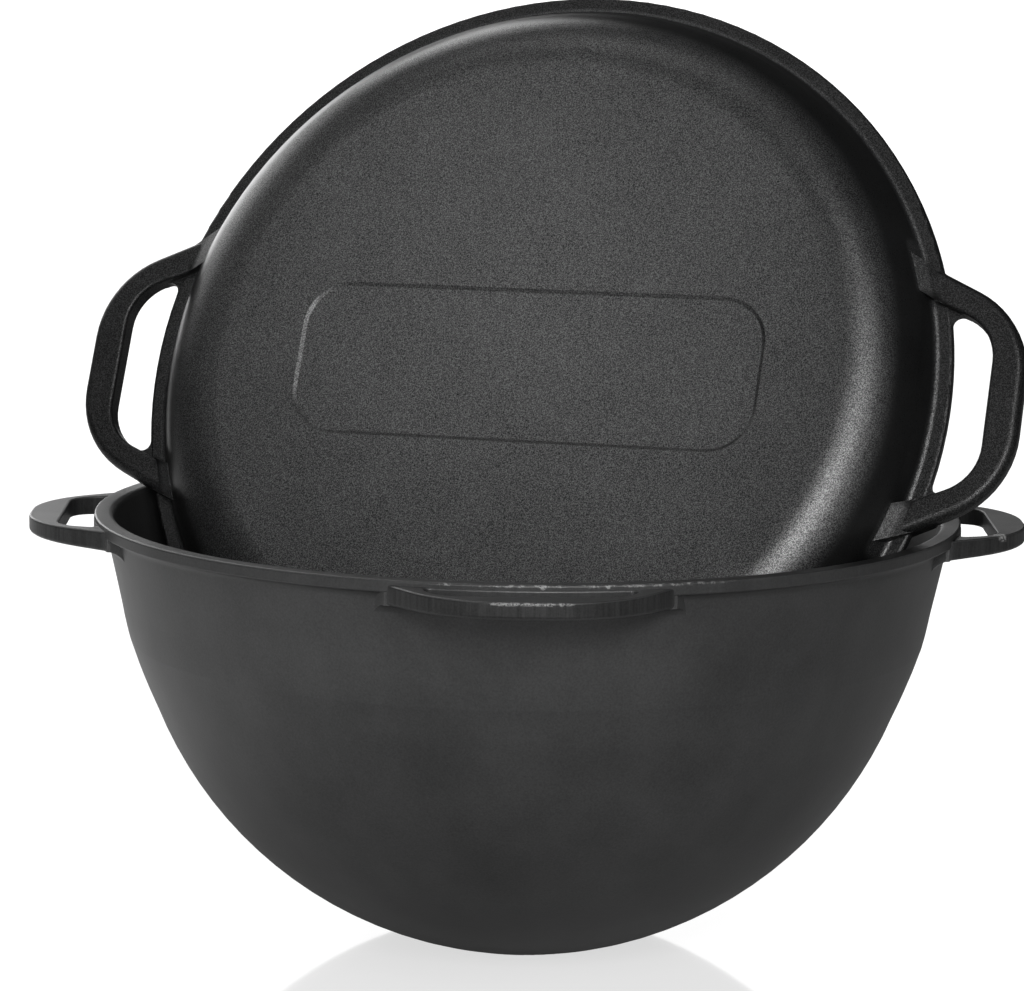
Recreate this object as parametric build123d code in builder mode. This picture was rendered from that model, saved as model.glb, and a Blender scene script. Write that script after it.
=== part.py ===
from build123d import *
import math
import os

os.makedirs("parts", exist_ok=True)

# Cast iron kazan: a round-bottomed bowl with four loop ears at the rim, and a
# lid that serves as a shallow pan when turned over.  Millimetres, +Z up.
# The origin is the centre of the bowl's flat foot.  The lid is shown leaning
# in the bowl's mouth, its closed face to the front (-Y).

# ---- bowl ------------------------------------------------------------------
RIM_R = 180.0          # outer radius of the collar band at the rim
RIM_Z = 180.5          # height of the rim top above the foot
BAND_H = 4.9           # height of the collar band
SPHERE_R = 165.8       # outer radius of the round bottom
SPHERE_Z = 161.4       # height of that sphere's centre
FOOT_R = 38.0          # radius of the flat foot
KINK_Z = 100.0         # where the sphere passes into the steeper upper wall
KINK_R = math.sqrt(SPHERE_R**2 - (SPHERE_Z - KINK_Z) ** 2)
# the wall above it, as (radius, height, slope) points, fuller than the sphere
WALL_CURVE = [(160.4, 115.0, 0.36), (165.4, 129.0, 0.30), (167.1, 136.0, 0.25), (168.6, 143.5, 0.22)]
WALL_TOP_R = 176.74    # outer wall radius, drawn up to the rim plane
WALL_T = 4.5           # wall thickness
FLOOR_Z = 6.0          # inner floor, thick over the foot
RIM_ROUND = 2.0        # rounding of the rim's inner edge
WALL_SLOPE = (WALL_TOP_R - WALL_CURVE[-1][0]) / (RIM_Z - WALL_CURVE[-1][1])

# ---- loop ears of the bowl -------------------------------------------------
EAR_TIP = 207.0        # radius of the ear's outer edge
EAR_TOP = RIM_Z - 2.0  # ear top, a little below the rim
EAR_T_ROOT = 8.2       # ear thickness at the bowl
EAR_T_TIP = 6.6        # ear thickness at the outer edge
EAR_HALF_ROOT = 52.8   # half width of the ear near the bowl
EAR_ARM_SLOPE = 0.643  # how fast the ear narrows outwards
EAR_CORNER = 48.0
EAR_SLOT_OUT = 193.2   # outer edge of the ear's slot
EAR_SLOT_HALF = 40.5
EAR_SLOT_CORNER = 14.0

# ---- lid, in its own frame: h along its axis from the open rim plane -------
LID_R = 175.4          # outer radius of the rim flange
FLANGE_T = 5.0
LID_WALL_R = 168.4     # wall radius at the flange's upper face
LID_H = 34.0           # height of the closed face
LID_DRAFT = math.radians(23.5)
LID_CORNER = 34.0      # large radius between wall and face
LID_T = 4.5            # wall thickness of the lid
PANEL_L = 202.0        # plain panel on the closed face
PANEL_W = 67.0
PANEL_CORNER = 20.0
PANEL_STEP = 0.9
PANEL_AT = (2.5, -1.5)

# ---- loop handles of the lid -----------------------------------------------
GRIP_TIP = 205.5       # distance of the grip's outer side from the lid's axis
GRIP_T = 8.9           # thickness of the handle
GRIP_ROOT_X = 163.2
GRIP_ROOT_Y = 57.2     # half width of the handle where it leaves the rim
GRIP_SLOPE = 0.47
GRIP_CORNER = 40.0
GRIP_SLOT_X = 191.4    # outer edge of the finger slot
GRIP_SLOT_Y = 40.5
GRIP_SLOT_SLOPE = 0.42
GRIP_SLOT_CORNER = 21.0
GRIP_ROUND_TOP = 3.6   # the grip's outer side is rounded more than its slot
GRIP_ROUND_BACK = 3.0

# ---- where the lid leans ---------------------------------------------------
LEAN = math.radians(25.72)     # face tipped back from upright
TURN = math.radians(-20.04)    # turned about the vertical
SPIN = math.radians(0.6)       # turned about its own axis
LID_AT = (6.5, 16.5, RIM_Z + 49.6)

lid_n = Vector(math.sin(TURN) * math.cos(LEAN), -math.cos(TURN) * math.cos(LEAN), math.sin(LEAN))
lid_x0 = Vector(math.cos(TURN), math.sin(TURN), 0)
lid_y0 = lid_n.cross(lid_x0)
lid_x = lid_x0 * math.cos(SPIN) + lid_y0 * math.sin(SPIN)
lid_y = lid_n.cross(lid_x)
lid_axis = Axis(LID_AT, lid_n)
lid_profile_plane = Plane(origin=LID_AT, x_dir=lid_x, z_dir=lid_y * -1)
lid_plane = Plane(origin=LID_AT, x_dir=lid_x, z_dir=lid_n)


# ============================================================================
# Ears: a ring with a tapered underside, cut to four loop outlines
# ============================================================================
with BuildSketch() as ear_outline:
    # root web inside the collar, and the ear itself
    with BuildLine():
        half = EAR_HALF_ROOT + 3.0
        start = math.sqrt((RIM_R - 0.4) ** 2 - half**2)
        Polyline((150, -half), (start, -half))
        ThreePointArc((start, -half), (RIM_R - 0.4, 0), (start, half))
        Polyline((start, half), (150, half), (150, -half))
    make_face()
    tip_half = EAR_HALF_ROOT - EAR_ARM_SLOPE * (EAR_TIP - 174.0)
    root_half = EAR_HALF_ROOT + EAR_ARM_SLOPE * (174.0 - 160.0)
    with BuildLine():
        Polyline(
            (160, -root_half), (EAR_TIP, -tip_half), (EAR_TIP, tip_half), (160, root_half), close=True
        )
    make_face()
    ear_tips = ear_outline.vertices().filter_by(lambda v: v.X > EAR_TIP - 0.1)
    fillet(ear_tips, radius=EAR_CORNER)
    # trim the root web back inside the bowl wall
    with BuildLine():
        Polyline((100, -80), (100, 80), (160.5, 80), (160.5, -80), close=True)
    make_face(mode=Mode.SUBTRACT)
    ear_throats = ear_outline.vertices().filter_by(
        lambda v: abs(math.hypot(v.X, v.Y) - (RIM_R - 0.4)) < 0.6 and 44 < abs(v.Y) < 53.5
    )
    fillet(ear_throats, radius=5.0)

with BuildSketch() as ear_slot:
    slot_tip_half = EAR_SLOT_HALF - 0.30 * (EAR_SLOT_OUT - 180.0)
    slot_root_half = EAR_SLOT_HALF + 0.30 * (180.0 - 165.0)
    with BuildLine():
        Polyline(
            (165, -slot_root_half), (EAR_SLOT_OUT, -slot_tip_half),
            (EAR_SLOT_OUT, slot_tip_half), (165, slot_root_half), close=True,
        )
    make_face()
    fillet(ear_slot.vertices().filter_by(lambda v: v.X > EAR_SLOT_OUT - 0.1), radius=EAR_SLOT_CORNER)
    Circle(RIM_R + 0.2, mode=Mode.SUBTRACT)
    fillet(ear_slot.vertices().filter_by(lambda v: math.hypot(v.X, v.Y) < RIM_R + 0.5), radius=2.6)

with BuildPart() as ears:
    with BuildSketch(Plane.XZ):
        with BuildLine():
            root_wall = WALL_TOP_R - WALL_SLOPE * (EAR_T_ROOT + 2.0)
            under = EAR_TOP - EAR_T_ROOT
            Polyline((150, EAR_TOP), (215, EAR_TOP), (215, EAR_TOP - EAR_T_TIP + 0.25), (root_wall + 3.4, under))
            ThreePointArc(
                (root_wall + 3.4, under), (root_wall + 0.75, under - 1.3), (root_wall - 1.1, under - 4.6)
            )
            Polyline((root_wall - 1.1, under - 4.6), (150, under - 4.6), (150, EAR_TOP))
        make_face()
    revolve(axis=Axis.Z)
    with BuildSketch(Plane.XY.offset(EAR_TOP - 30)):
        with PolarLocations(0, 4):
            add(ear_outline.sketch)
        with PolarLocations(0, 4):
            add(ear_slot.sketch, mode=Mode.SUBTRACT)
    extrude(amount=40, mode=Mode.INTERSECT)
    ear_rims = ears.edges().filter_by(
        lambda e: e.bounding_box().min.Z > EAR_TOP - 0.01
        and math.hypot(e.center().X, e.center().Y) > RIM_R + 0.6
    )
    fillet(ear_rims, radius=0.9)
    ear_unders = ears.edges().filter_by(
        lambda e: e.bounding_box().max.Z < EAR_TOP - EAR_T_TIP + 0.4
        and math.hypot(e.center().X, e.center().Y) > 196
    )
    fillet(ear_unders, radius=1.6)

# ============================================================================
# Bowl: outer body, ears, then the hollow
# ============================================================================
with BuildPart() as kazan_bowl:
    with BuildSketch(Plane.XZ):
        with BuildLine():
            foot_z = SPHERE_Z - math.sqrt(SPHERE_R**2 - (FOOT_R + 1.4) ** 2)
            a_mid = 0.5 * (math.asin((FOOT_R + 1.4) / SPHERE_R) + math.asin(KINK_R / SPHERE_R))
            wall_at = lambda z: WALL_TOP_R - WALL_SLOPE * (RIM_Z - z)
            step_z = RIM_Z - BAND_H
            Polyline((0, RIM_Z), (0, 0), (FOOT_R, 0))
            ThreePointArc(
                (FOOT_R, 0), (FOOT_R + 0.85, foot_z * 0.38), (FOOT_R + 1.4, foot_z)
            )
            ThreePointArc(
                (FOOT_R + 1.4, foot_z),
                (SPHERE_R * math.sin(a_mid), SPHERE_Z - SPHERE_R * math.cos(a_mid)),
                (KINK_R, KINK_Z),
            )
            up = [(r, z) for r, z, slope in WALL_CURVE]
            ThreePointArc((KINK_R, KINK_Z), up[0], up[1])
            ThreePointArc(up[1], up[2], up[3])
            Line(up[3], (wall_at(step_z - 3.6), step_z - 3.6))
            ThreePointArc(
                (wall_at(step_z - 3.6), step_z - 3.6),
                (wall_at(step_z - 1.3) + 0.75, step_z - 1.15),
                (RIM_R - 1.0, step_z - 0.1),
            )
            ThreePointArc((RIM_R - 1.0, step_z - 0.1), (RIM_R - 0.22, step_z + 0.2), (RIM_R, step_z + 0.9))
            Line((RIM_R, step_z + 0.9), (RIM_R, RIM_Z - 0.9))
            ThreePointArc((RIM_R, RIM_Z - 0.9), (RIM_R - 0.26, RIM_Z - 0.26), (RIM_R - 0.9, RIM_Z))
            Line((RIM_R - 0.9, RIM_Z), (0, RIM_Z))
        make_face()
    revolve(axis=Axis.Z)
    add(ears.part)
    with BuildSketch(Plane.XZ):
        with BuildLine():
            inner_r = SPHERE_R - WALL_T
            dz = SPHERE_Z - FLOOR_Z
            floor_r = math.sqrt(inner_r**2 - dz**2)
            wall_off = WALL_T / math.cos(math.atan(WALL_SLOPE))
            in_kink_z = KINK_Z + WALL_T * (SPHERE_Z - KINK_Z) / SPHERE_R
            in_kink_r = math.sqrt(inner_r**2 - (SPHERE_Z - in_kink_z) ** 2)
            inner_up = [
                (r - WALL_T / math.hypot(1, slope), z + WALL_T * slope / math.hypot(1, slope))
                for r, z, slope in WALL_CURVE
            ]
            top_r = WALL_TOP_R - wall_off
            b_mid = 0.5 * (math.asin((floor_r + 6.0) / inner_r) + math.asin(in_kink_r / inner_r))
            b_low_z = SPHERE_Z - math.sqrt(inner_r**2 - (floor_r + 6.0) ** 2)
            Polyline((0, RIM_Z + 5), (0, FLOOR_Z), (floor_r - 8.0, FLOOR_Z))
            ThreePointArc(
                (floor_r - 8.0, FLOOR_Z),
                (floor_r - 0.8, FLOOR_Z + 0.55),
                (floor_r + 6.0, b_low_z),
            )
            ThreePointArc(
                (floor_r + 6.0, b_low_z),
                (inner_r * math.sin(b_mid), SPHERE_Z - inner_r * math.cos(b_mid)),
                (in_kink_r, in_kink_z),
            )
            ThreePointArc((in_kink_r, in_kink_z), inner_up[0], inner_up[1])
            ThreePointArc(inner_up[1], inner_up[2], inner_up[3])
            Line(inner_up[3], (top_r - WALL_SLOPE * RIM_ROUND, RIM_Z - RIM_ROUND))
            ThreePointArc(
                (top_r - WALL_SLOPE * RIM_ROUND, RIM_Z - RIM_ROUND),
                (top_r + 0.35, RIM_Z - 0.65),
                (top_r + RIM_ROUND, RIM_Z),
            )
            Polyline((top_r + RIM_ROUND, RIM_Z), (top_r + RIM_ROUND, RIM_Z + 5), (0, RIM_Z + 5))
        make_face()
    revolve(axis=Axis.Z, mode=Mode.SUBTRACT)
kazan_bowl.part.label = "kazan_bowl"
export_step(kazan_bowl.part, "parts/kazan_bowl.step")

# ============================================================================
# Lid handles: arms and grip in one loop, ramping up to the lid's wall
# ============================================================================
with BuildSketch() as grip_outline:
    grip_tip_y = GRIP_ROOT_Y - GRIP_SLOPE * (GRIP_TIP - GRIP_ROOT_X)
    grip_in_y = GRIP_ROOT_Y + GRIP_SLOPE * (GRIP_ROOT_X - 150.0)
    with BuildLine():
        Polyline(
            (150, -grip_in_y), (GRIP_TIP, -grip_tip_y), (GRIP_TIP, grip_tip_y), (150, grip_in_y), close=True
        )
    make_face()
    fillet(grip_outline.vertices().filter_by(lambda v: v.X > GRIP_TIP - 0.1), radius=GRIP_CORNER)

with BuildSketch() as grip_gap:
    # between the arms, from the lid's wall to the grip
    slot_tip_y = GRIP_SLOT_Y - GRIP_SLOT_SLOPE * (GRIP_SLOT_X - 171.0)
    slot_in_y = GRIP_SLOT_Y + GRIP_SLOT_SLOPE * (171.0 - 140.0)
    with BuildLine():
        Polyline(
            (140, -slot_in_y), (GRIP_SLOT_X, -slot_tip_y), (GRIP_SLOT_X, slot_tip_y), (140, slot_in_y), close=True
        )
    make_face()
    fillet(grip_gap.vertices().filter_by(lambda v: v.X > GRIP_SLOT_X - 0.1), radius=GRIP_SLOT_CORNER)

with BuildSketch() as finger_slot:
    add(grip_gap.sketch)
    Circle(LID_R - 0.3, mode=Mode.SUBTRACT)
    fillet(finger_slot.vertices().filter_by(lambda v: math.hypot(v.X, v.Y) < LID_R + 0.2), radius=3.9)

with BuildSketch() as slot_corners:
    # rounds the slot's two corners beside the rim
    Circle(183.0)
    Circle(171.0, mode=Mode.SUBTRACT)
    add(grip_outline.sketch, mode=Mode.INTERSECT)
    add(finger_slot.sketch, mode=Mode.SUBTRACT)


def axial(p):
    return (Vector(p) - Vector(LID_AT)).dot(lid_n)


def radial(p):
    d = Vector(p) - Vector(LID_AT)
    return math.hypot(d.dot(lid_x), d.dot(lid_y))


def flat_at(edge, h):
    return all(abs(axial(edge @ t) - h) < 0.01 for t in (0, 0.5, 1))


def outer_side(edge):
    # true on the handle's outer outline, false around its slot
    d = Vector(edge @ 0.5) - Vector(LID_AT)
    return math.hypot(abs(d.dot(lid_x)) - (GRIP_TIP - GRIP_CORNER), abs(d.dot(lid_y)) - 12.7) > 34


ramp_r = LID_WALL_R - (GRIP_T - FLANGE_T) * math.tan(LID_DRAFT)
with BuildPart() as grips:
    with BuildSketch(lid_profile_plane):
        with BuildLine():
            Polyline(
                (160, 0), (215, 0), (215, GRIP_T), (ramp_r + 4.6, GRIP_T),
                (ramp_r - 1.4, GRIP_T + 3.6), (160, GRIP_T + 3.6), close=True,
            )
        make_face()
    revolve(axis=lid_axis)
    with BuildSketch(lid_plane.offset(-5)):
        with PolarLocations(0, 2):
            add(grip_outline.sketch)
        with PolarLocations(0, 2):
            add(grip_gap.sketch, mode=Mode.SUBTRACT)
    extrude(amount=30, mode=Mode.INTERSECT)
    grip_edges = grips.edges()
    fillet(
        grip_edges.filter_by(lambda e: flat_at(e, GRIP_T) and radial(e @ 0.5) > ramp_r + 5.0 and outer_side(e)),
        radius=GRIP_ROUND_TOP,
    )
    fillet(
        grips.edges().filter_by(lambda e: flat_at(e, GRIP_T) and radial(e @ 0.5) > ramp_r + 5.0 and not outer_side(e)),
        radius=1.6,
    )
    fillet(
        grips.edges().filter_by(lambda e: flat_at(e, 0) and radial(e @ 0.5) > 165.0 and outer_side(e)),
        radius=GRIP_ROUND_BACK,
    )
    fillet(
        grips.edges().filter_by(lambda e: flat_at(e, 0) and radial(e @ 0.5) > 165.0 and not outer_side(e)), radius=1.2
    )

# ============================================================================
# Lid: turned body with flange, handles, plain panel, then the pan's hollow
# ============================================================================
with BuildPart() as lid_pan:
    with BuildSketch(lid_profile_plane):
        with BuildLine():
            td, cd, sd = math.tan(LID_DRAFT), math.cos(LID_DRAFT), math.sin(LID_DRAFT)
            sharp_r = LID_WALL_R - (LID_H - FLANGE_T) * td
            arc_r = sharp_r + LID_CORNER * td - LID_CORNER / cd
            arc_h = LID_H - LID_CORNER
            lid_wall = lambda h: LID_WALL_R - (h - FLANGE_T) * td
            mid = 0.5 * (LID_DRAFT + math.pi / 2)
            Polyline((0, 0), (LID_R - 1.6, 0))
            ThreePointArc((LID_R - 1.6, 0), (LID_R - 0.47, 0.47), (LID_R, 1.6))
            Line((LID_R, 1.6), (LID_R, FLANGE_T - 1.4))
            ThreePointArc((LID_R, FLANGE_T - 1.4), (LID_R - 0.41, FLANGE_T - 0.41), (LID_R - 1.4, FLANGE_T))
            Line((LID_R - 1.4, FLANGE_T), (LID_WALL_R + 1.6, FLANGE_T))
            ThreePointArc(
                (LID_WALL_R + 1.6, FLANGE_T),
                (lid_wall(FLANGE_T + 0.75) + 0.45, FLANGE_T + 0.5),
                (lid_wall(FLANGE_T + 2.0), FLANGE_T + 2.0),
            )
            Line((lid_wall(FLANGE_T + 2.0), FLANGE_T + 2.0), (arc_r + LID_CORNER * cd, arc_h + LID_CORNER * sd))
            ThreePointArc(
                (arc_r + LID_CORNER * cd, arc_h + LID_CORNER * sd),
                (arc_r + LID_CORNER * math.cos(mid), arc_h + LID_CORNER * math.sin(mid)),
                (arc_r, LID_H),
            )
            Polyline((arc_r, LID_H), (0, LID_H), (0, 0))
        make_face()
    revolve(axis=lid_axis)
    add(grips.part)
    with BuildSketch(lid_plane.offset(0.5)):
        with PolarLocations(0, 2):
            add(slot_corners.sketch)
    extrude(amount=FLANGE_T - 0.8)
    with BuildSketch(lid_plane.offset(LID_H + 0.2)):
        with Locations(PANEL_AT):
            RectangleRounded(PANEL_L + 0.7, PANEL_W + 0.7, PANEL_CORNER + 0.35)
    extrude(amount=-(PANEL_STEP + 0.2), taper=60, mode=Mode.SUBTRACT)
    with BuildSketch(lid_profile_plane):
        with BuildLine():
            in_c = LID_CORNER - LID_T
            lip_r = LID_WALL_R + FLANGE_T * td - LID_T / cd
            Polyline((0, -5), (lip_r + 1.2, -5), (lip_r + 1.2, 0))
            ThreePointArc((lip_r + 1.2, 0), (lip_r + 0.2, 0.45), (lip_r - 1.5 * td, 1.5))
            Line((lip_r - 1.5 * td, 1.5), (arc_r + in_c * cd, arc_h + in_c * sd))
            ThreePointArc(
                (arc_r + in_c * cd, arc_h + in_c * sd),
                (arc_r + in_c * math.cos(mid), arc_h + in_c * math.sin(mid)),
                (arc_r, LID_H - LID_T),
            )
            Polyline((arc_r, LID_H - LID_T), (0, LID_H - LID_T), (0, -5))
        make_face()
    revolve(axis=lid_axis, mode=Mode.SUBTRACT)
lid_pan.part.label = "lid_pan"
export_step(lid_pan.part, "parts/lid_pan.step")
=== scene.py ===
import bpy
import math
from mathutils import Matrix, Vector

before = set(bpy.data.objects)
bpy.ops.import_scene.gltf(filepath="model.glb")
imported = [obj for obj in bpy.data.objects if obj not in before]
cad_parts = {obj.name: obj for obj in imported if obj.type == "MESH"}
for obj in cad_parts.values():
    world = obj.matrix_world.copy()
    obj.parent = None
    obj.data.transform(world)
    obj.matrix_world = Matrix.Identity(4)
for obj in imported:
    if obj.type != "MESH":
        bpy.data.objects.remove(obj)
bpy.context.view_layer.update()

scene = bpy.context.scene
scene.view_settings.view_transform = "Standard"
scene.view_settings.look = "None"
scene.view_settings.exposure = 0.0
scene.view_settings.gamma = 1.0


# ------------------------------------------------------------------ light values
WORLD = 0.03
FLOOR_GLOW = 0.67
TABLE_TONE = 0.32
# painted light: the hidden table's glow, dim on the right and brighter on the left
TABLE_GLOW, TABLE_LEFT = 0.055, 0.46
LIGHTS = [
    # name, azimuth, elevation, distance, width, height, radiance
    ("key_front", 20, 36, 2.2, 0.60, 1.0, 6.8),
    ("key_low", 2, 23, 2.2, 0.45, 0.6, 29.0),
    ("key_high", 14, 60, 2.2, 0.6, 0.6, 1.7),
    ("front_low", 0, 8, 2.2, 2.5, 0.9, 1.5),
    ("front_left", -20, 12, 2.2, 0.8, 0.8, 1.8),
    ("side_left", -70, 40, 2.2, 0.8, 0.8, 0.7),
    ("side_left_far", -100, 38, 2.2, 0.8, 0.8, 0.7),
    ("back_left_mid", -130, 28, 2.2, 0.8, 0.8, 2.6),
    ("back_left_low", -155, 12, 2.2, 0.8, 0.8, 3.6),
    ("back_left_high", -160, 40, 2.2, 0.8, 0.8, 3.5),
    ("top_left", -90, 70, 2.2, 0.8, 0.8, 1.8),
    ("top", 0, 88, 2.2, 0.8, 0.8, 1.0),
    ("right", 45, 20, 2.2, 0.8, 0.8, 0.5),
]
# a nearer box for the lid's face, brightest at its upper middle
FACE_BOX = ("face_box", -40, 45, 0.8, 0.28, 0.28, 0.132, (-0.034, 0.0, 0.282), 26.0)

# ------------------------------------------------------------------ iron values
LID_BASE, LID_ROUGH, LID_GRAIN, LID_SPECK, LID_BUMP = (0.0130, 0.0132, 0.0134), 0.30, 1900.0, 9.0, 0.00009
BOWL_BASE, BOWL_ROUGH, BOWL_SPEC, BOWL_SPECK, BOWL_BUMP = (0.0275, 0.0277, 0.0279), 0.40, 0.46, 0.6, 0.00010
# painted shade on the upward tops of the rim and ears
TOP_PAINTED_SHADE = -0.18
HANDLE_DROP = -0.50    # the handled loops are darker than the face
EAR_MARK = ((0.1926, -0.0362, 0.1780), 0.0032)
RIM_MARKS = [((-0.0340, -0.1785, 0.1800), 0.0014), ((0.0045, -0.1798, 0.1800), 0.0014), ((0.0292, -0.1776, 0.1800), 0.0010)]

# ------------------------------------------------------------------ camera
# A long lens a little above the rim, fitted to the photograph's frame.
FOCAL_PX, WIDTH_PX, HEIGHT_PX = 4500.0, 1024, 991
CAM_AT = Vector((-0.01735, -1.85422, 0.47328))
PITCH, YAW, ROLL = 0.15319, -0.00582, 0.01235


def rot_x(a):
    return Matrix(((1, 0, 0), (0, math.cos(a), -math.sin(a)), (0, math.sin(a), math.cos(a))))


def rot_y(a):
    return Matrix(((math.cos(a), 0, math.sin(a)), (0, 1, 0), (-math.sin(a), 0, math.cos(a))))


def rot_z(a):
    return Matrix(((math.cos(a), -math.sin(a), 0), (math.sin(a), math.cos(a), 0), (0, 0, 1)))


BASE = Matrix(((1, 0, 0), (0, 0, -1), (0, 1, 0)))
R = rot_z(ROLL) @ rot_x(PITCH) @ rot_y(YAW) @ BASE      # rows: right, down, forward
cam_data = bpy.data.cameras.new("camera")
cam = bpy.data.objects.new("camera", cam_data)
scene.collection.objects.link(cam)
cam_data.sensor_fit = "HORIZONTAL"
cam_data.sensor_width = 36.0
cam_data.lens = FOCAL_PX / WIDTH_PX * 36.0
cam_data.clip_start, cam_data.clip_end = 0.05, 60.0
cam_data.dof.use_dof = False
rot = Matrix((R[0], -Vector(R[1]), -Vector(R[2]))).transposed()
cam.matrix_world = Matrix.Translation(CAM_AT) @ rot.to_4x4()
scene.camera = cam


# ------------------------------------------------------------------ node helpers
def new_material(name):
    m = bpy.data.materials.new(name)
    m.use_nodes = True
    nt = m.node_tree
    for n in list(nt.nodes):
        nt.nodes.remove(n)
    return m, nt


def node(nt, kind, **values):
    n = nt.nodes.new(kind)
    for k, v in values.items():
        setattr(n, k, v)
    return n


def noise(nt, vec, scale, detail=4.0, rough=0.55, kind="FBM"):
    n = node(nt, "ShaderNodeTexNoise", noise_dimensions="3D", noise_type=kind)
    n.inputs["Scale"].default_value = scale
    n.inputs["Detail"].default_value = detail
    n.inputs["Roughness"].default_value = rough
    nt.links.new(vec, n.inputs["Vector"])
    return n.outputs["Fac"]


def math_node(nt, op, a, b=None, c=None, clamp=False):
    n = node(nt, "ShaderNodeMath", operation=op, use_clamp=clamp)
    for i, v in enumerate((a, b, c)):
        if v is None:
            continue
        if isinstance(v, (int, float)):
            n.inputs[i].default_value = v
        else:
            nt.links.new(v, n.inputs[i])
    return n.outputs[0]


def remap(nt, v, a, b, c=0.0, d=1.0, smooth=False):
    n = node(nt, "ShaderNodeMapRange", clamp=True)
    n.interpolation_type = "SMOOTHSTEP" if smooth else "LINEAR"
    nt.links.new(v, n.inputs["Value"])
    for k, x in zip(("From Min", "From Max", "To Min", "To Max"), (a, b, c, d)):
        n.inputs[k].default_value = x
    return n.outputs["Result"]


def mix(nt, fac, a, b):
    n = node(nt, "ShaderNodeMix", data_type="RGBA", blend_type="MIX")
    for sock, v in ((n.inputs["Factor"], fac), (n.inputs["A"], a), (n.inputs["B"], b)):
        if isinstance(v, (int, float)):
            sock.default_value = v
        elif isinstance(v, tuple):
            sock.default_value = (*v, 1.0)
        else:
            nt.links.new(v, sock)
    return n.outputs["Result"]


def bump(nt, height, dist, strength=1.0, normal=None):
    n = node(nt, "ShaderNodeBump")
    n.inputs["Strength"].default_value = strength
    n.inputs["Distance"].default_value = dist
    nt.links.new(height, n.inputs["Height"])
    if normal is not None:
        nt.links.new(normal, n.inputs["Normal"])
    return n.outputs["Normal"]


# ------------------------------------------------------------------ cast iron
# the leaning lid's own frame, as in the part's source
LEAN, TURN, SPIN = math.radians(25.72), math.radians(-20.04), math.radians(0.6)
LID_AT = Vector((0.0065, 0.0165, 0.2301))
LID_N = Vector((math.sin(TURN) * math.cos(LEAN), -math.cos(TURN) * math.cos(LEAN), math.sin(LEAN)))
_x0 = Vector((math.cos(TURN), math.sin(TURN), 0))
LID_X = _x0 * math.cos(SPIN) + LID_N.cross(_x0) * math.sin(SPIN)
LID_Y = LID_N.cross(LID_X)


def vec_node(nt, op, a, b=None):
    n = node(nt, "ShaderNodeVectorMath", operation=op)
    for i, v in enumerate((a, b)):
        if v is None:
            continue
        if isinstance(v, (tuple, Vector)):
            n.inputs[i].default_value = tuple(v)
        else:
            nt.links.new(v, n.inputs[i])
    return n.outputs["Value"] if op in ("DOT_PRODUCT", "LENGTH", "DISTANCE") else n.outputs["Vector"]


def split(nt, v):
    n = node(nt, "ShaderNodeSeparateXYZ")
    nt.links.new(v, n.inputs[0])
    return n.outputs[0], n.outputs[1], n.outputs[2]


def hyp(nt, a, b):
    return math_node(nt, "SQRT", math_node(nt, "ADD", math_node(nt, "MULTIPLY", a, a), math_node(nt, "MULTIPLY", b, b)))


def mul(nt, *vals):
    out = vals[0]
    for v in vals[1:]:
        out = math_node(nt, "MULTIPLY", out, v)
    return out


def add2(nt, a, b):
    return math_node(nt, "ADD", a, b)


def scale_col(nt, col, fac):
    """A colour times a factor socket."""
    return vec_node(nt, "MULTIPLY", col, fac)


def spot(nt, geo, at, size, ragged):
    """A ragged patch around a point: 1 inside, 0 outside."""
    d = vec_node(nt, "DISTANCE", geo, at)
    d = add2(nt, d, math_node(nt, "MULTIPLY", math_node(nt, "SUBTRACT", ragged, 0.5), size * 1.6))
    return remap(nt, d, size * 1.1, size * 0.75)


def edge_worn(nt, radius, lo, hi):
    """1 along convex edges and corners, from the rounded normal."""
    bev = node(nt, "ShaderNodeBevel", samples=4)
    bev.inputs["Radius"].default_value = radius
    geom = node(nt, "ShaderNodeNewGeometry")
    dot = vec_node(nt, "DOT_PRODUCT", bev.outputs["Normal"], geom.outputs["Normal"])
    return remap(nt, dot, hi, lo)


def finish_iron(nt, bsdf, col, rough, spec, height, dist):
    nt.links.new(col, bsdf.inputs["Base Color"])
    nt.links.new(rough, bsdf.inputs["Roughness"])
    nt.links.new(spec, bsdf.inputs["Specular IOR Level"])
    bsdf.inputs["Metallic"].default_value = 0.0
    nt.links.new(bump(nt, height, dist), bsdf.inputs["Normal"])


def tones(nt, geo, scale_a=14.0, scale_b=55.0):
    cloud = noise(nt, geo, scale_a, 3.0)
    patch = noise(nt, geo, scale_b, 4.0, 0.6)
    return cloud, patch, remap(nt, add2(nt, mul(nt, cloud, 0.6), mul(nt, patch, 0.4)), 0.35, 0.65)


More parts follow.
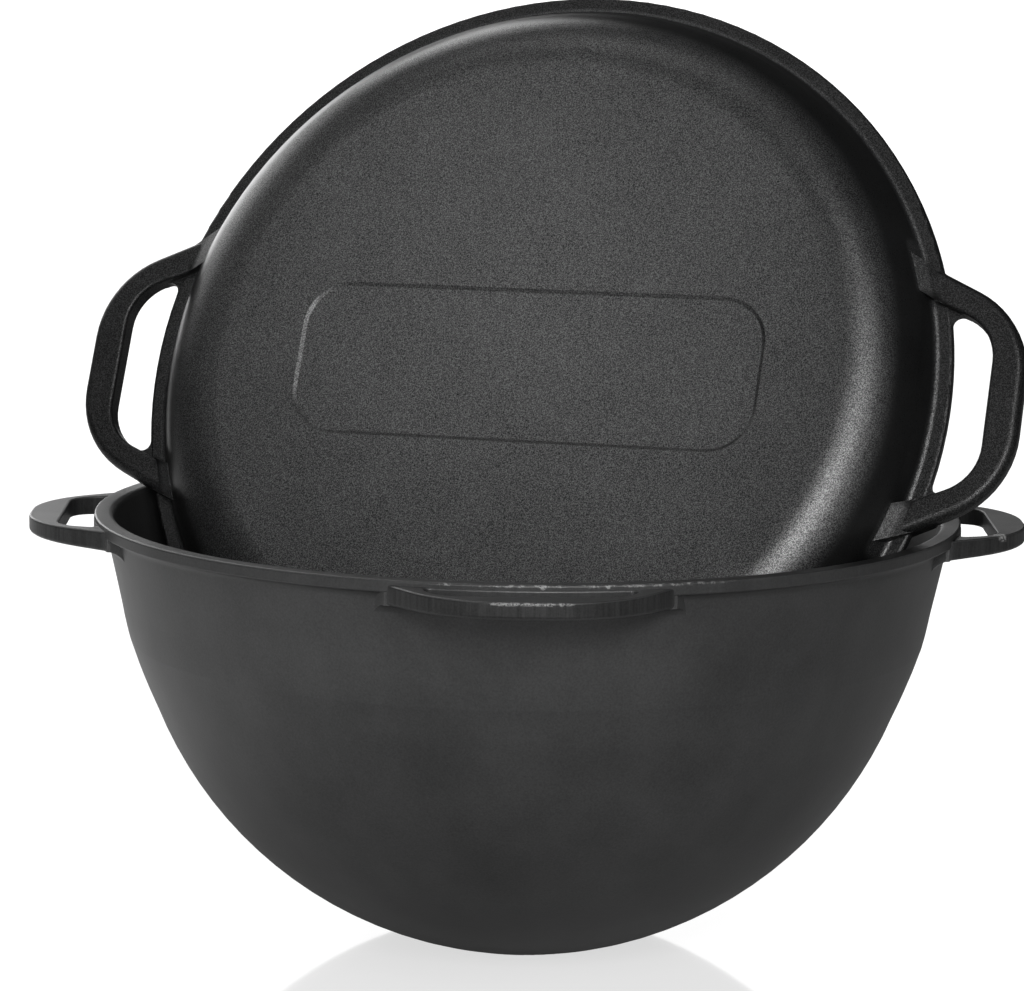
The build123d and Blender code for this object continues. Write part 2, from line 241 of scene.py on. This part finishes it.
def make_lid_iron():
    """Sand-cast, seasoned face with fine grain; smooth turned wall; coarser rim and handles."""
    m, nt = new_material("lid_iron")
    out = node(nt, "ShaderNodeOutputMaterial")
    bsdf = node(nt, "ShaderNodeBsdfPrincipled")
    nt.links.new(bsdf.outputs["BSDF"], out.inputs["Surface"])
    geo = node(nt, "ShaderNodeTexCoord").outputs["Object"]
    rel = vec_node(nt, "SUBTRACT", geo, LID_AT)
    h = vec_node(nt, "DOT_PRODUCT", rel, LID_N)
    x = vec_node(nt, "DOT_PRODUCT", rel, LID_X)
    y = vec_node(nt, "DOT_PRODUCT", rel, LID_Y)
    r = hyp(nt, x, y)
    cloud, patch, tone = tones(nt, geo)
    fine = noise(nt, geo, LID_GRAIN, 2.0, 0.6)
    dust = noise(nt, geo, LID_GRAIN * 1.7, 1.0, 0.5)
    coarse = noise(nt, geo, 520.0, 3.0, 0.6)
    # 1 on the face and shoulder, 0 on the flared wall, 1 again on the rim and handles
    face = remap(nt, h, 0.0225, 0.0275, smooth=True)
    rim = math_node(nt, "MAXIMUM", remap(nt, h, 0.0075, 0.0055), remap(nt, r, 0.1715, 0.1735))
    # and on the ramps where the handles' arms run up the wall
    ax, ay = math_node(nt, "ABSOLUTE", x), math_node(nt, "ABSOLUTE", y)
    ramp = mul(nt, remap(nt, ax, 0.1500, 0.1520), remap(nt, h, 0.0150, 0.0130), remap(nt, ay, 0.0700, 0.0670), remap(nt, ay, 0.0440, 0.0470))
    rim = math_node(nt, "MAXIMUM", rim, ramp)
    face_or_rim = math_node(nt, "MAXIMUM", face, rim)
    amount = math_node(nt, "MAXIMUM", mul(nt, face, 1.0), mul(nt, rim, 0.9))
    amount = math_node(nt, "MAXIMUM", amount, 0.12)
    # speckled shine: each sand grain catches the light differently
    sp = add2(nt, mul(nt, math_node(nt, "SUBTRACT", fine, 0.5), LID_SPECK), mul(nt, math_node(nt, "SUBTRACT", dust, 0.5), LID_SPECK * 0.8))
    sp = math_node(nt, "MINIMUM", math_node(nt, "MAXIMUM", sp, -0.42), 1.2)
    sp = add2(nt, 1.0, mul(nt, sp, amount))
    # painted shade where the rim dips into the bowl on the right
    painted_dip_shade = mul(nt, remap(nt, r, 0.162, 0.167), remap(nt, x, 0.080, 0.110), remap(nt, y, -0.065, -0.071), remap(nt, r, 0.1765, 0.1757))
    worn = edge_worn(nt, 0.0009, 0.80, 0.97)
    worn = mul(nt, worn, remap(nt, coarse, 0.40, 0.60))
    level = mul(nt, sp, add2(nt, 0.84, mul(nt, tone, 0.08)), add2(nt, 1.0, mul(nt, worn, 0.6)))
    # painted shade: the flared wall between face and rim is darkened by half
    level = mul(nt, level, add2(nt, 1.0, mul(nt, math_node(nt, "SUBTRACT", 1.0, face_or_rim), -0.5)))
    level = mul(nt, level, add2(nt, 1.0, mul(nt, remap(nt, r, 0.1690, 0.1705), HANDLE_DROP)))
    # painted shade: darkens the rim where it dips into the bowl by three quarters
    level = mul(nt, level, add2(nt, 1.0, mul(nt, painted_dip_shade, -0.75)))
    spec = math_node(nt, "MULTIPLY", level, 0.5, clamp=True)
    col = mix(nt, tone, tuple(0.85 * c for c in LID_BASE), tuple(1.15 * c for c in LID_BASE))
    col = scale_col(nt, col, math_node(nt, "MAXIMUM", level, 0.1))
    rough = add2(nt, LID_ROUGH, mul(nt, math_node(nt, "SUBTRACT", patch, 0.5), 0.03))
    rough = add2(nt, rough, mul(nt, rim, 0.06))
    rough = math_node(nt, "ADD", rough, mul(nt, math_node(nt, "SUBTRACT", fine, 0.5), 0.15), clamp=True)
    height = add2(nt, mul(nt, fine, amount), mul(nt, coarse, mul(nt, amount, 0.35)))
    height = add2(nt, height, mul(nt, patch, 0.15))
    finish_iron(nt, bsdf, col, rough, spec, height, LID_BUMP)
    return m


def make_bowl_iron():
    """Smoother satin casting; ground ear sides with upright strokes; worn spots along the rim and ears."""
    m, nt = new_material("bowl_iron")
    out = node(nt, "ShaderNodeOutputMaterial")
    bsdf = node(nt, "ShaderNodeBsdfPrincipled")
    nt.links.new(bsdf.outputs["BSDF"], out.inputs["Surface"])
    geo = node(nt, "ShaderNodeTexCoord").outputs["Object"]
    x, y, z = split(nt, geo)
    r = hyp(nt, x, y)
    nz = split(nt, node(nt, "ShaderNodeNewGeometry").outputs["Normal"])[2]
    cloud, patch, tone = tones(nt, geo, 11.0, 40.0)
    fine = noise(nt, geo, 1150.0, 2.0, 0.6)
    coarse = noise(nt, geo, 420.0, 3.0, 0.6)
    flat = node(nt, "ShaderNodeCombineXYZ")
    nt.links.new(x, flat.inputs[0])
    nt.links.new(y, flat.inputs[1])
    nt.links.new(mul(nt, z, 0.05), flat.inputs[2])
    strokes = noise(nt, flat.outputs[0], 620.0, 3.0, 0.7)
    # faint upright casting streaks on the wall
    streak = node(nt, "ShaderNodeCombineXYZ")
    nt.links.new(x, streak.inputs[0])
    nt.links.new(y, streak.inputs[1])
    nt.links.new(mul(nt, z, 0.22), streak.inputs[2])
    streaks = noise(nt, streak.outputs[0], 75.0, 4.0, 0.6)
    ear = mul(nt, remap(nt, r, 0.1795, 0.1815), remap(nt, z, 0.160, 0.162))
    side = mul(nt, ear, remap(nt, math_node(nt, "ABSOLUTE", nz), 0.55, 0.30))
    top = mul(nt, remap(nt, nz, 0.80, 0.95), remap(nt, z, 0.176, 0.1775))
    worn = mul(nt, edge_worn(nt, 0.0009, 0.80, 0.97), remap(nt, coarse, 0.42, 0.58), remap(nt, z, 0.155, 0.165))
    marks = spot(nt, geo, EAR_MARK[0], EAR_MARK[1], coarse)
    for at, size in RIM_MARKS:
        marks = math_node(nt, "MAXIMUM", marks, spot(nt, geo, at, size, coarse))
    # rubbed edges: the rim over the front ear, and that ear's top outer edge
    rub = remap(nt, hyp(nt, add2(nt, r, -0.1797), add2(nt, z, -0.1803)), 0.0011, 0.0006)
    rub = mul(nt, rub, remap(nt, y, -0.160, -0.165), remap(nt, x, -0.036, -0.034), remap(nt, x, 0.085, 0.060))
    rub = mul(nt, rub, remap(nt, coarse, 0.47, 0.60))
    rub2 = remap(nt, hyp(nt, add2(nt, y, 0.2066), add2(nt, z, -0.1781)), 0.0011, 0.0006)
    rub2 = mul(nt, rub2, remap(nt, x, -0.030, -0.016), remap(nt, x, 0.030, 0.008), remap(nt, coarse, 0.36, 0.55))
    marks = math_node(nt, "MAXIMUM", marks, math_node(nt, "MAXIMUM", mul(nt, rub, 0.7), mul(nt, rub2, 0.8)))
    marks = mul(nt, marks, remap(nt, fine, 0.40, 0.52))
    sp = add2(nt, 1.0, mul(nt, math_node(nt, "SUBTRACT", fine, 0.5), BOWL_SPECK))
    sp = add2(nt, sp, mul(nt, math_node(nt, "SUBTRACT", strokes, 0.5), mul(nt, side, 1.3)))
    level = mul(nt, sp, add2(nt, 0.90, mul(nt, tone, 0.20)), add2(nt, 0.92, mul(nt, streaks, 0.16)))
    level = mul(nt, level, add2(nt, 1.0, mul(nt, worn, 0.7)))
    # painted shade: the upward tops of the rim and ears are darkened
    level = mul(nt, level, add2(nt, 1.0, mul(nt, top, TOP_PAINTED_SHADE)))
    level = mul(nt, level, add2(nt, 1.0, mul(nt, side, -0.40)))
    # painted shade: the hollow is darkened relative to the outside
    nx, ny = split(nt, node(nt, "ShaderNodeNewGeometry").outputs["Normal"])[:2]
    inward = add2(nt, mul(nt, x, nx), mul(nt, y, ny))
    inward = mul(nt, remap(nt, inward, -0.02, -0.06), remap(nt, r, 0.1775, 0.1765))
    level = mul(nt, level, add2(nt, 1.0, mul(nt, inward, -0.45)))
    # painted shade: the tops on the right side are darkened further
    level = mul(nt, level, add2(nt, 1.0, mul(nt, mul(nt, top, remap(nt, x, 0.05, 0.16)), -0.78)))
    spec = math_node(nt, "MULTIPLY", level, BOWL_SPEC, clamp=True)
    col = mix(nt, tone, tuple(0.88 * c for c in BOWL_BASE), tuple(1.12 * c for c in BOWL_BASE))
    col = scale_col(nt, col, math_node(nt, "MAXIMUM", level, 0.1))
    col = mix(nt, marks, col, (0.22, 0.22, 0.218))
    rough = add2(nt, BOWL_ROUGH, mul(nt, math_node(nt, "SUBTRACT", patch, 0.5), 0.12))
    rough = math_node(nt, "ADD", rough, mul(nt, math_node(nt, "SUBTRACT", fine, 0.5), 0.10), clamp=True)
    height = add2(nt, mul(nt, fine, 0.35), mul(nt, coarse, 0.25))
    height = add2(nt, height, mul(nt, patch, 0.5))
    height = add2(nt, height, mul(nt, strokes, mul(nt, side, 0.5)))
    finish_iron(nt, bsdf, col, rough, spec, height, BOWL_BUMP)
    return m


bowl_iron = make_bowl_iron()
lid_iron = make_lid_iron()


def give(obj, mat):
    if obj.data.materials:
        for i in range(len(obj.data.materials)):
            obj.data.materials[i] = mat
    else:
        obj.data.materials.append(mat)


give(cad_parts["kazan_bowl"], bowl_iron)
give(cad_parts["lid_pan"], lid_iron)


# ------------------------------------------------------------------ floor and backdrop
def stage_mesh(name, verts, faces, mat):
    me = bpy.data.meshes.new(name)
    me.from_pydata(verts, [], faces)
    o = bpy.data.objects.new(name, me)
    scene.collection.objects.link(o)
    o.data.materials.append(mat)
    return o


# glossy white table top for the camera: mostly its own white, so the contact shadow stays faint
floor_mat, fnt = new_material("floor_white")
fo = node(fnt, "ShaderNodeOutputMaterial")
fb = node(fnt, "ShaderNodeBsdfPrincipled")
fb.inputs["Base Color"].default_value = (0.25, 0.25, 0.25, 1)
fb.inputs["Roughness"].default_value = 0.07
fb.inputs["Specular IOR Level"].default_value = 1.0
fb.inputs["Emission Color"].default_value = (1, 1, 1, 1)
fb.inputs["Emission Strength"].default_value = FLOOR_GLOW
fnt.links.new(fb.outputs["BSDF"], fo.inputs["Surface"])
SQUARE = [(-14, -14), (14, -14), (14, 14), (-14, 14)]
floor = stage_mesh("floor", [(x, y, 0) for x, y in SQUARE], [(0, 1, 2, 3)], floor_mat)

# what the iron sees below it: a pale table in softer light, unseen by the camera
table_mat, tnt = new_material("table_tone")
to = node(tnt, "ShaderNodeOutputMaterial")
tb = node(tnt, "ShaderNodeBsdfPrincipled")
tb.inputs["Base Color"].default_value = (TABLE_TONE, TABLE_TONE, TABLE_TONE, 1)
tb.inputs["Roughness"].default_value = 0.9
tb.inputs["Specular IOR Level"].default_value = 0.0
tb.inputs["Emission Color"].default_value = (1, 1, 1, 1)
# painted light: the hidden table glows brighter on the left, standing in for light falling more on the left
tx = split(tnt, node(tnt, "ShaderNodeTexCoord").outputs["Object"])[0]
tnt.links.new(remap(tnt, tx, -0.12, -0.32, TABLE_GLOW, TABLE_LEFT, smooth=True), tb.inputs["Emission Strength"])
tnt.links.new(tb.outputs["BSDF"], to.inputs["Surface"])
table = stage_mesh("table", [(x, y, -0.0005) for x, y in SQUARE], [(0, 1, 2, 3)], table_mat)
table.visible_camera = False

# white paper all round, which only the camera sees
paper_mat, pnt = new_material("paper_white")
po = node(pnt, "ShaderNodeOutputMaterial")
pe = node(pnt, "ShaderNodeEmission")
pe.inputs["Strength"].default_value = 1.0
pnt.links.new(pe.outputs["Emission"], po.inputs["Surface"])
ring, paper_v, paper_f = 48, [], []
for k in range(ring):
    t = 2 * math.pi * k / ring
    for z, q in ((-0.5, 13.0), (3.0, 13.0), (9.0, 9.0), (12.0, 3.0)):
        paper_v.append((q * math.cos(t), q * math.sin(t), z))
for k in range(ring):
    for j in range(3):
        a0, b0 = 4 * k + j, 4 * ((k + 1) % ring) + j
        paper_f.append((a0, b0, b0 + 1, a0 + 1))
paper_f.append(tuple(4 * k + 3 for k in range(ring)))
paper = stage_mesh("paper", paper_v, paper_f, paper_mat)
for flag in ("visible_diffuse", "visible_glossy", "visible_transmission", "visible_volume_scatter", "visible_shadow"):
    setattr(paper, flag, False)
    setattr(floor, flag, False)

# a white wall far behind, small from the object, which the glossy table top mirrors
wall_mat, wnt = new_material("wall_white")
wo = node(wnt, "ShaderNodeOutputMaterial")
we = node(wnt, "ShaderNodeEmission")
# it fades out at the sides and the top, so it leaves no edge in the mirror
wx, wy, wz = split(wnt, node(wnt, "ShaderNodeTexCoord").outputs["Object"])
fade = mul(wnt, remap(wnt, wx, -2.6, -1.75, smooth=True), remap(wnt, wx, 2.9, 2.0, smooth=True), remap(wnt, wz, 5.2, 3.9, smooth=True))
wnt.links.new(fade, we.inputs["Strength"])
wnt.links.new(we.outputs["Emission"], wo.inputs["Surface"])
wall = stage_mesh("wall", [(-2.6, 12.8, -0.2), (2.9, 12.8, -0.2), (2.9, 12.8, 5.2), (-2.6, 12.8, 5.2)], [(0, 1, 2, 3)], wall_mat)
for flag in ("visible_camera", "visible_diffuse", "visible_transmission", "visible_volume_scatter", "visible_shadow"):
    setattr(wall, flag, False)


# ------------------------------------------------------------------ light
world = bpy.data.worlds.new("studio")
scene.world = world
world.use_nodes = True
bg = world.node_tree.nodes["Background"]
bg.inputs["Color"].default_value = (1, 1, 1, 1)
bg.inputs["Strength"].default_value = WORLD


def area(name, az, el, dist, w, h, radiance, aim=(0.0, 0.0, 0.2), spread=180.0):
    """A softbox seen from the object at an azimuth (0 in front, + to the right) and elevation, with an even radiance."""
    a, e = math.radians(az), math.radians(el)
    at = Vector(aim) + Vector((math.sin(a) * math.cos(e), -math.cos(a) * math.cos(e), math.sin(e))) * dist
    d = bpy.data.lights.new(name, "AREA")
    d.shape = "RECTANGLE"
    d.size, d.size_y = w, h
    d.energy = radiance * math.pi * w * h
    d.spread = math.radians(spread)
    o = bpy.data.objects.new(name, d)
    scene.collection.objects.link(o)
    o.location = at
    o.rotation_mode = "QUATERNION"
    o.rotation_quaternion = (Vector(aim) - at).to_track_quat("-Z", "Y")
    return o


for args in LIGHTS + [FACE_BOX]:
    area(*args)
